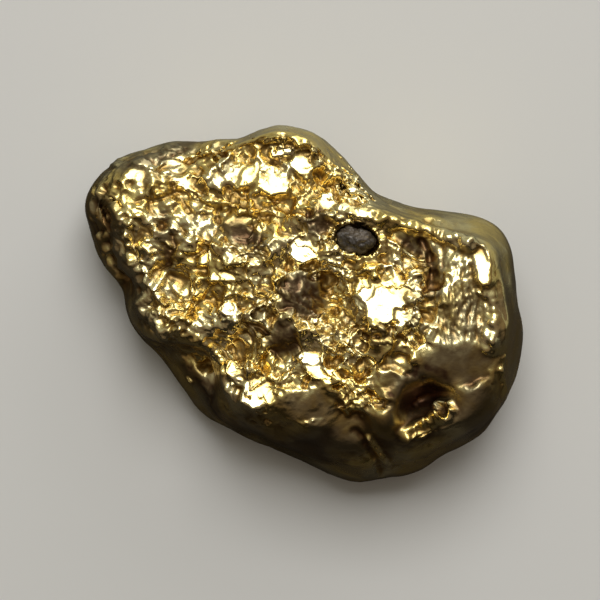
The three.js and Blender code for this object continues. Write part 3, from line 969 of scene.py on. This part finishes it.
@dataclass
class Nugget:
    """The gold nugget, with its hackly upper face and its worn sides.

    Attributes:
        node: the solid that it is built over.
        grain_node: the grain's solid, round which the gold closes.
        finish: its material.
        merge_mm: the distance within which the solid's corners are joined.
        seat: half the length, half the width and the turn of the grain's seat.
        first_cuts: cuts of every edge of the solid.
        first_rounds: smoothing rounds after them.
        side_cuts: further cuts on the sides. The underside gets none.
        top_cuts: further cuts on the upper face.
        top_rounds: smoothing rounds after them.
        layers: the scatters of facets, of which the first is the broad one.
        fine_share: what the finer layers keep on the smoothest and on the roughest broad facets.
        swell: the size and the rise of a slow swelling.
        wear: where the hackly surface is worn.
        ribs: the ribs of the band.
        grit: the granules.
        film: the dark film, with painted shade and painted dark reflection.
        cavity_rounds: smoothing rounds that give the level against which hollows are measured.
        rim: the rim of the upper face by the broad end.
        lines: the other long forms of the upper face.
        grounds: large leaning areas, flattened before the facets are carved.
        plates: facets that stand out one by one, flattened after them.
    """

    TOP_NORMAL_Z: ClassVar[float] = 0.25
    UNDER_NORMAL_Z: ClassVar[float] = -0.35
    PRESSED_NORMAL_Z: ClassVar[float] = 0.1
    BAND: ClassVar[Ramp] = Ramp(2.95, 3.3)  # x over which the band begins
    SEAT_LIP: ClassVar[Ramp] = Ramp(0.95, 1.05)  # distance from the seat's middle
    SEAT_SLOPE: ClassVar[Ramp] = Ramp(3.2, 1.2)
    ROUGH_LOTS: ClassVar[Ramp] = Ramp(0.25, 0.6)
    LINE_FACING: ClassVar[Ramp] = Ramp(0.0, 0.35)  # normal's z
    LINE_MEAN: ClassVar[float] = 0.85  # share of a line's rise that shows, give or take
    LINE_SPREAD: ClassVar[float] = 0.9
    LINE_UNEVEN_SIZE: ClassVar[float] = 0.22
    HOLLOW_DEPTH: ClassVar[Ramp] = Ramp(-0.012, 0.035)
    RAGGED_GROUNDS: ClassVar[float] = 0.5
    RAGGED_PLATES: ClassVar[float] = 1.0

    node: str = "gold_nugget"
    grain_node: str = "dark_mineral_grain"
    finish: GoldFinish = GoldFinish()
    merge_mm: float = 0.002
    seat: tuple[float, float, float] = (0.56, 0.38, -14.0)
    first_cuts: int = 1
    first_rounds: int = 4
    side_cuts: int = 1
    top_cuts: int = 2
    top_rounds: int = 9
    layers: tuple[Facets, ...] = (
        Facets(cell=0.55, slope=0.33, step=0.26, crease=0.06, offset=3.3),
        Facets(cell=0.24, slope=0.42, step=0.28, crease=0.15, offset=8.1, sharpness=18, stretch=1.35),
        Facets(cell=0.12, slope=0.4, step=0.28, crease=0.15, offset=14.7, sharpness=18, stretch=1.2),
    )
    fine_share: tuple[float, float] = (0.4, 1.15)
    swell: tuple[float, float] = (0.8, 0.04)
    wear: Wear = Wear()
    ribs: Ribs = Ribs()
    grit: Grit = Grit()
    film: FilmAndShade = FilmAndShade()
    cavity_rounds: int = 14
    rim: tuple[Line, ...] = (
        Line(
            ((0.75, 2.36), (1.62, 2.12), (2.31, 1.92), (3.03, 1.73), (3.5, 1.58), (4.05, 1.38)),
            half_width=0.27,
            rise=0.13,
        ),
        Line(
            ((4.05, 1.38), (4.32, 1.15), (4.5, 0.4), (4.62, -0.4), (4.6, -1.2)),
            half_width=0.3,
            rise=0.12,
        ),
    )
    lines: tuple[Line, ...] = (
        # Trough inside the rim
        Line(((2.95, 1.4), (3.15, 0.61), (3.14, -0.3)), half_width=0.3, rise=-0.15),
        # Crease down the lower side, and the streak beside it
        Line(((1.25, -3.25), (1.72, -3.8), (1.98, -4.22)), half_width=0.17, rise=-0.09),
        Line(((1.6, -3.4), (1.93, -3.83), (2.16, -4.1)), half_width=0.12, rise=0.12),
        # Groove behind the thin ledge at the upper left
        Line(((-3.75, 3.6), (-3.2, 3.66), (-2.5, 3.6), (-2.0, 3.68)), half_width=0.15, rise=-0.14),
        # Curl and low bar in the large pit
        Line(
            ((3.28, -2.62), (3.42, -2.5), (3.62, -2.54), (3.7, -2.75), (3.58, -2.96), (3.38, -3.0)),
            half_width=0.12,
            rise=0.26,
        ),
        Line(((2.5, -3.32), (2.8, -3.16), (3.08, -3.08), (3.3, -2.92)), half_width=0.22, rise=0.3),
        # Low ridge by the lower right edge
        Line(((4.86, -1.7), (4.98, -2.0), (5.0, -2.4)), half_width=0.1, rise=0.1),
        # Ring round the small pit
        Line(((2.5, 0.45), (2.68, 0.62), (2.9, 0.6), (3.0, 0.42), (2.92, 0.22)), half_width=0.1, rise=0.08),
    )
    grounds: tuple[Plate, ...] = (
        Plate(Oval(-0.6, 3.0, 1.9, 0.85, -10), lean=12, towards=95, lift=0.02),  # upper lobe
        Plate(Oval(3.85, -0.3, 0.75, 0.9, 0), lean=10, towards=-30, lift=0.0, share=0.7),  # the band
        Plate(Oval(3.75, -1.6, 1.1, 0.55, 0), lean=18, towards=-60, lift=0.0, share=0.8),
        Plate(Oval(1.3, -2.2, 0.55, 0.6, 0), lean=10, towards=92, lift=0.0, share=0.6),
        Plate(Oval(-0.03, -2.64, 0.9, 0.42, 5), lean=24, towards=-85, lift=0.0, share=0.75),
        Plate(Oval(2.13, -2.06, 0.35, 0.38, 0), lean=16, towards=-90, lift=0.0, share=0.7),
        Plate(Oval(2.8, 1.4, 0.5, 0.25, -20), lean=22, towards=-100, lift=-0.04, share=0.8),
        Plate(Oval(-5.08, 2.05, 0.22, 0.5, 0), lean=24, towards=190, lift=0.0, share=0.6),
        Plate(Oval(2.05, -0.08, 0.9, 0.7, 60), lift=0.04, share=0.7),  # largest boss
    )
    plates: tuple[Plate, ...] = (
        # Dark facets, which lean away from the key light
        Plate(Oval(-0.1, 0.12, 0.6, 0.55, 0), lean=20, towards=-70, lift=-0.04, share=0.45),
        Plate(Oval(-0.54, -0.91, 0.35, 0.42, 0), lean=18, towards=-90, lift=-0.04, share=0.45),
        Plate(Oval(-1.62, 1.69, 0.45, 0.24, -30), lean=20, towards=-100, lift=-0.04, share=0.6),
        Plate(Oval(0.33, 1.94, 0.35, 0.25, 0), lean=15, towards=-45, lift=-0.02, share=0.5),
        # Bright facets of the left end and the upper lobe
        Plate(Oval(-2.99, 2.98, 0.28, 0.2, 5), lift=0.05),
        Plate(Oval(-3.27, 3.5, 0.38, 0.13, 25), lift=0.03),
        Plate(Oval(-4.21, 3.2, 0.3, 0.16, 15), lift=0.04),
        Plate(Oval(-4.57, 2.44, 0.28, 0.3, 0), lift=0.03, share=0.7),
        Plate(Oval(-1.75, 3.18, 0.28, 0.4, 35), lift=0.05),
        Plate(Oval(-1.4, 3.1, 0.22, 0.42, -35), lift=0.05),
        Plate(Oval(-0.75, 2.88, 0.36, 0.26, -5), lift=0.06),
        Plate(Oval(-0.1, 3.42, 0.28, 0.48, 25), lift=0.05),
        Plate(Oval(-0.5, 3.75, 0.4, 0.16, 5), lift=0.04),
        Plate(Oval(0.54, 2.48, 0.24, 0.2, -40), lift=0.03),
        # Bright facets of the middle
        Plate(Oval(0.0, 1.22, 0.42, 0.32, -10), lift=0.05, share=0.9),
        Plate(Oval(-1.62, 2.01, 0.42, 0.12, 0), lift=0.03),
        Plate(Oval(-2.45, 1.07, 0.22, 0.2, 0), lift=0.04),
        Plate(Oval(-1.94, 1.04, 0.13, 0.22, 10), lift=0.04),
        Plate(Oval(-2.09, 0.57, 0.3, 0.14, 5), lift=0.04),
        Plate(Oval(-1.91, -0.26, 0.22, 0.18, 0), lift=0.05),
        # The lower corner's boss, and the bar along the lower edge
        Plate(Oval(-1.22, -2.28, 0.42, 0.42, 15), lift=0.05, share=0.9),
        Plate(Oval(-1.73, -1.7, 0.2, 0.22, 0), lift=0.04),
        Plate(Oval(0.47, -1.84, 0.6, 0.22, -25), lift=0.05),
        Plate(Oval(0.1, -1.45, 0.35, 0.15, -5), lift=0.04),
        # The largest boss
        Plate(Oval(2.02, -0.08, 0.68, 0.5, 60), lift=0.05, share=0.9),
        Plate(Oval(2.45, -0.5, 0.3, 0.2, -30), lift=0.03, share=0.8),
        Plate(Oval(1.45, 0.28, 0.22, 0.3, -20), lift=0.03, share=0.8),
        # The rim
        Plate(Oval(1.35, 2.2, 0.4, 0.12, -14), lift=0.02, share=0.7),
        Plate(Oval(4.38, 0.78, 0.19, 0.6, 8), lift=0.02, share=0.92),
        # The lower lip of the large pit, and the small knob in the recess
        Plate(Oval(2.85, -3.3, 0.36, 0.14, 8), lean=16, lift=0.06, share=0.9),
        Plate(Oval(-2.99, -1.92, 0.22, 0.1, 0), lean=16, lift=0.06),
    )

    def is_top(self, vert: bmesh.types.BMVert) -> bool:
        """Whether a corner belongs to the upper face and its shoulder."""
        return vert.co.z > BELLY_MM * MM and vert.normal.z > self.TOP_NORMAL_Z

    def divide(self, mesh: bmesh.types.BMesh) -> None:
        """Divides the solid's triangles, most finely on the upper face.

        Args:
            mesh: the solid's mesh, refined in place.
        """
        refine(mesh, self.first_cuts, self.first_rounds)
        top = [edge for edge in mesh.edges if all(self.is_top(vert) for vert in edge.verts)]
        under = {
            edge
            for edge in mesh.edges
            if all(vert.normal.z < self.UNDER_NORMAL_Z for vert in edge.verts)
        }
        kept = under.union(top)
        refine(mesh, self.side_cuts, 0, [edge for edge in mesh.edges if edge not in kept])
        refine(mesh, self.top_cuts, self.top_rounds, [edge for edge in top if edge.is_valid])

    def close_pocket(self, mesh: bmesh.types.BMesh, seat: Oval, rim_height: float) -> None:
        """Draws the gold up round the grain, so that the grain lies almost flush.

        Args:
            mesh: the refined mesh, changed in place.
            seat: the grain's outline from above.
            rim_height: how high the gold stands at its edge, in metres.
        """
        for vert in mesh.verts:
            if vert.co.z < BELLY_MM * MM or vert.normal.z < 0.0:
                continue
            distance = seat.distance(vert.co.x / MM, vert.co.y / MM)
            share = self.SEAT_LIP.at(distance) * self.SEAT_SLOPE.at(distance)
            vert.co.z = lerp(vert.co.z, max(vert.co.z, rim_height), share)

    def press(self, mesh: bmesh.types.BMesh, plates: tuple[Plate, ...], ragged: float) -> None:
        """Flattens the upper face inside each of several plates.

        Args:
            mesh: the mesh, whose normals are up to date, changed in place.
            plates: the plates.
            ragged: how irregular their outlines are, from 0 for plain ovals to 1.
        """
        tops = [v for v in mesh.verts if v.co.z > BELLY_MM * MM and v.normal.z > self.PRESSED_NORMAL_Z]
        for plate in plates:
            plate.press(tops, ragged)

    def relief(self, point: Vector, normal: Vector) -> tuple[float, float]:
        """Measures how far the carved surface stands out from the smooth one.

        Args:
            point: the point.
            normal: the surface's normal there.

        Returns:
            The height, and the lot of the broad facet that the point is on.
        """
        band = self.BAND.at(point.x)
        rough = self.wear.left(point, normal, band, self.rim)
        (broad, lot), *finer = [facets.sample(point) for facets in self.layers]
        grainy = lerp(*self.fine_share, self.ROUGH_LOTS.at(lot))
        out = rough * (broad + grainy * sum(height for height, _ in finer))
        out += self.grit.height(point, rough * grainy)
        swell_size, swell_rise = self.swell
        out += self.ribs.height(point, normal, band) + swell_rise * noise.noise(point / swell_size)
        facing = self.LINE_FACING.at(normal.z)
        if point.z > BELLY_MM and facing > 0.0:
            uneven = self.LINE_MEAN + self.LINE_SPREAD * noise.noise(point / self.LINE_UNEVEN_SIZE)
            out += facing * uneven * sum(line.height(point.x, point.y) for line in self.rim + self.lines)
        return out, lot

    def carve(self, mesh: bmesh.types.BMesh) -> None:
        """Gives the mesh its grounds, facets, creases, ribs, lines and plates, and keeps the lots.

        Args:
            mesh: the refined mesh, changed in place.
        """
        lots = mesh.verts.layers.float.new(Mark.LOT.value)
        self.press(mesh, self.grounds, self.RAGGED_GROUNDS)
        mesh.normal_update()
        moved = []
        for vert in mesh.verts:
            out, lot = self.relief(vert.co / MM, vert.normal)
            vert[lots] = lot
            moved.append(vert.co + vert.normal * out * MM)
        for vert, place in zip(mesh.verts, moved):
            vert.co = place
        mesh.normal_update()
        self.press(mesh, self.plates, self.RAGGED_PLATES)
        for vert in mesh.verts:
            vert.co.z = max(vert.co.z, 0.0)

    def mark_hollows(self, mesh: bmesh.types.BMesh) -> None:
        """Marks how far each corner lies below the surface around it, and how thick the film and the
        painted shade are.

        Args:
            mesh: the carved mesh, which gets the two attributes, from 0 to 1.
        """
        mesh.normal_update()
        evened = mesh.copy()
        smooth(evened, self.cavity_rounds)
        hollows = mesh.verts.layers.float.new(Mark.HOLLOW.value)
        film_and_shade_marks = mesh.verts.layers.float.new(Mark.FILM_AND_SHADE.value)
        lines = self.rim + self.lines
        for vert, even in zip(mesh.verts, evened.verts):
            hollow = self.HOLLOW_DEPTH.at((even.co - vert.co).dot(vert.normal) / MM)
            vert[hollows] = hollow
            vert[film_and_shade_marks] = self.film.thickness(vert.co / MM, vert.normal, hollow, lines)
        evened.free()

    def build(self, frame: dict) -> bpy.types.Object:
        """Builds the fine nugget over its solid.


        Returns:
            The piece.
        """
        mesh = merged_copy(frame["nodes"][self.node], self.merge_mm * MM)
        self.divide(mesh)
        low, high = (Vector(corner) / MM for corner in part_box(self.grain_node))
        middle = (low + high) / 2.0
        self.close_pocket(mesh, Oval(middle.x, middle.y, *self.seat), high.z * MM)
        self.carve(mesh)
        self.mark_hollows(mesh)
        piece = finish_piece(mesh, "nugget_surface", self.finish.material())
        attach(piece, "root")
        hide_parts(self.node)
        return piece


@dataclass
class Grain:
    """The dark mineral grain in its pocket.

    Attributes:
        node: the solid that it is built over.
        finish: its material.
        merge_mm: the distance within which the solid's corners are joined.
        cuts: cuts of every edge of the solid.
        smoothing_rounds: smoothing rounds after them.
        swell: how far it stands out from the smoothed solid, which makes up for the smoothing.
        layers: the scatters of facets.
    """

    node: str = "dark_mineral_grain"
    finish: MineralFinish = MineralFinish()
    merge_mm: float = 0.002
    cuts: int = 3
    smoothing_rounds: int = 6
    swell: float = 0.03
    layers: tuple[Facets, ...] = (
        Facets(cell=0.3, slope=0.3, step=0.1, crease=0.05, offset=2.2),
        Facets(cell=0.12, slope=0.25, step=0.1, crease=0.05, offset=5.5),
    )

    def build(self, frame: dict) -> bpy.types.Object:
        """Builds the fine grain over its solid.


        Returns:
            The piece.
        """
        mesh = merged_copy(frame["nodes"][self.node], self.merge_mm * MM)
        refine(mesh, self.cuts, self.smoothing_rounds)
        moved = []
        for vert in mesh.verts:
            out = sum(facets.sample(vert.co / MM)[0] for facets in self.layers)
            moved.append(vert.co + vert.normal * (out + self.swell) * MM)
        for vert, place in zip(mesh.verts, moved):
            vert.co = place
        piece = finish_piece(mesh, "mineral_grain_surface", self.finish.material())
        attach(piece, "root")
        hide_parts(self.node)
        return piece


class Card(Enum):
    """The soft lights of the studio."""

    KEY = "key"
    NORTH = "north"


@dataclass(frozen=True)
class SoftLight:
    """A square soft light.

    Attributes:
        card: which light it is.
        azimuth: where it stands, in degrees anticlockwise from +X.
        height: its height as seen from the nugget, in degrees above level.
        distance: its distance from the nugget.
        size: the length of its side.
        radiance: how bright its face is.
    """

    card: Card
    azimuth: float
    height: float
    distance: float
    size: float
    radiance: float

    def place(self, target: Vector) -> None:
        """Puts the light into the scene.

        Args:
            target: the point that it faces.
        """
        data = bpy.data.lights.new(self.card.value, "AREA")
        data.shape = "SQUARE"
        data.size = self.size
        data.energy = self.radiance * math.pi * self.size * self.size
        light = bpy.data.objects.new(f"{self.card.value}_light", data)
        azimuth, height = math.radians(self.azimuth), math.radians(self.height)
        away = Vector(
            (math.cos(azimuth) * math.cos(height), math.sin(azimuth) * math.cos(height), math.sin(height))
        )
        light.location = target + away * self.distance
        light.rotation_euler = away.to_track_quat("Z", "Y").to_euler()
        bpy.context.scene.collection.objects.link(light)


@dataclass
class Studio:
    """The pale floor, the soft lights, the surroundings and the camera.

    Gold shows what is round it. So the floor and the room that it mirrors are darker than the
    floor and the background that the camera sees.

    Attributes:
        target_mm: the point in the middle of the picture.
        view_width_mm: how wide the picture is at that point.
        camera_distance: how far the camera stands from it.
        camera_lean: how far the camera leans from straight above, towards +X and +Y, in degrees.
        camera_near: how near to it the camera begins to see.
        sensor_mm: the width of its sensor.
        floor_side: the length of the floor's side.
        floor_roughness: its roughness.
        floor_pale: the floor's and the background's colour to the camera.
        floor_dark_in_gold: the floor's colour to the gold.
        floor_pale_in_gold: the same in the north.
        floor_north: the direction in which the floor turns pale to the gold.
        floor_blend: how far along it that begins and ends.
        room_uphill: the direction in which the room turns paler to the gold.
        room_dark: the room's colour low down.
        room_brown: its colour about level.
        room_pale: its colour high up.
        low_blend: how far uphill the dark room turns brown.
        high_blend: how far uphill the brown room turns pale.
        lights: the soft lights.
    """

    target_mm: tuple[float, float, float] = (-0.08, 0.08, 2.2)
    view_width_mm: float = 15.1
    camera_distance: float = 0.13
    camera_lean: tuple[float, float] = (-2.0, -3.0)
    camera_near: float = 0.005
    sensor_mm: float = 36.0
    floor_side: float = 2.0
    floor_roughness: float = 0.9
    floor_pale: Colour = (0.72, 0.71, 0.69)
    floor_dark_in_gold: Colour = (0.03, 0.025, 0.022)
    floor_pale_in_gold: Colour = (0.42, 0.43, 0.38)
    floor_north: tuple[float, float, float] = (0.2, 0.98, 0.0)
    floor_blend: Ramp = Ramp(0.002, 0.008)
    room_uphill: tuple[float, float, float] = (-0.1, 0.55, 0.75)
    room_dark: Colour = (0.012, 0.01, 0.008)
    room_brown: Colour = (0.15, 0.115, 0.09)
    room_pale: Colour = (0.37, 0.38, 0.32)
    low_blend: Ramp = Ramp(-0.25, 0.2)
    high_blend: Ramp = Ramp(0.25, 0.95)
    lights: tuple[SoftLight, ...] = (
        SoftLight(Card.KEY, azimuth=88, height=62, distance=0.16, size=0.1, radiance=4.6),
        SoftLight(Card.NORTH, azimuth=62, height=18, distance=0.2, size=0.16, radiance=1.1),
    )

    def build(self) -> None:
        """Sets the whole stage."""
        target = Vector(self.target_mm) * MM
        self.build_floor()
        for light in self.lights:
            light.place(target)
        self.build_surroundings()
        self.build_camera(target)
        bpy.context.scene.view_settings.view_transform = "Standard"

    @staticmethod
    def along(
        tree: bpy.types.NodeTree,
        place: bpy.types.NodeSocket,
        direction: tuple[float, float, float],
        blend: Ramp,
    ) -> bpy.types.NodeSocket:
        """Measures how far a place lies along a direction.

        Args:
            tree: the node tree.
            place: the place's output.
            direction: the direction, whose length scales the measure.
            blend: the measures between which the result rises.

        Returns:
            The output of a value that rises smoothly from 0 to 1.
        """
        dot = tree.nodes.new("ShaderNodeVectorMath")
        dot.operation = "DOT_PRODUCT"
        feed(tree, dot.inputs[0], place)
        feed(tree, dot.inputs[1], direction)
        ends = (blend.start, blend.end)
        return map_range(tree, dot.outputs["Value"], source=ends, blend=Blend.SMOOTH)

    def split_by_eye(
        self, tree: bpy.types.NodeTree, mirrored: bpy.types.NodeSocket
    ) -> bpy.types.NodeSocket:
        """Gives the camera the pale colour, and every other ray its own.

        Args:
            tree: the node tree.
            mirrored: the output of the colour for the other rays.

        Returns:
            The output of the colour.
        """
        path = tree.nodes.new("ShaderNodeLightPath")
        return mix_colours(tree, path.outputs["Is Camera Ray"], mirrored, self.floor_pale)

    def build_floor(self) -> None:
        """Lays the floor, which the gold mirrors dark but for its north."""
        mesh = bmesh.new()
        bmesh.ops.create_grid(mesh, x_segments=1, y_segments=1, size=self.floor_side / 2)
        made = bpy.data.materials.new("pale_floor")
        made.use_nodes = True
        tree = made.node_tree
        shader = tree.nodes[SHADER].inputs
        place = tree.nodes.new("ShaderNodeTexCoord").outputs["Object"]
        north = self.along(tree, place, self.floor_north, self.floor_blend)
        mirrored = mix_colours(tree, north, self.floor_dark_in_gold, self.floor_pale_in_gold)
        feed(tree, shader["Roughness"], self.floor_roughness)
        feed(tree, shader["Base Color"], self.split_by_eye(tree, mirrored))
        floor = finish_piece(mesh, "floor", made)

    def build_surroundings(self) -> None:
        """Surrounds the stage: pale to the camera, and to the gold a dim room, paler uphill."""
        world = bpy.data.worlds.new("surroundings")
        bpy.context.scene.world = world
        world.use_nodes = True
        tree = world.node_tree
        place = tree.nodes.new("ShaderNodeTexCoord").outputs["Generated"]
        low = self.along(tree, place, self.room_uphill, self.low_blend)
        high = self.along(tree, place, self.room_uphill, self.high_blend)
        walls = mix_colours(tree, low, self.room_dark, self.room_brown)
        room = mix_colours(tree, high, walls, self.room_pale)
        feed(tree, tree.nodes["Background"].inputs["Color"], self.split_by_eye(tree, room))

    def build_camera(self, target: Vector) -> None:
        """Looks down on the nugget as the photograph does.

        Args:
            target: the point in the middle of the picture.
        """
        data = bpy.data.cameras.new("camera")
        data.sensor_width = self.sensor_mm
        data.lens = self.sensor_mm * self.camera_distance / (self.view_width_mm * MM)
        data.clip_start = self.camera_near
        camera = bpy.data.objects.new("camera", data)
        lean_x, lean_y = (math.radians(a) for a in self.camera_lean)
        away = Vector((math.tan(lean_x), math.tan(lean_y), 1.0)).normalized()
        camera.location = target + away * self.camera_distance
        camera.rotation_euler = Euler((-math.atan(away.y / away.z), math.atan(away.x / away.z), 0.0))
        bpy.context.scene.collection.objects.link(camera)
        bpy.context.scene.camera = camera


def main() -> None:
    """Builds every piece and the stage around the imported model."""
    logging.basicConfig(level=logging.INFO, format="%(message)s")
    noise.seed_set(NOISE_SEED)
    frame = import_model()
    for sub_assembly in (Nugget(), Grain()):
        piece = sub_assembly.build(frame)
        log.info("%s: %d faces", piece.name, len(piece.data.polygons))
    Studio().build()


if __name__ == "__main__":
    main()
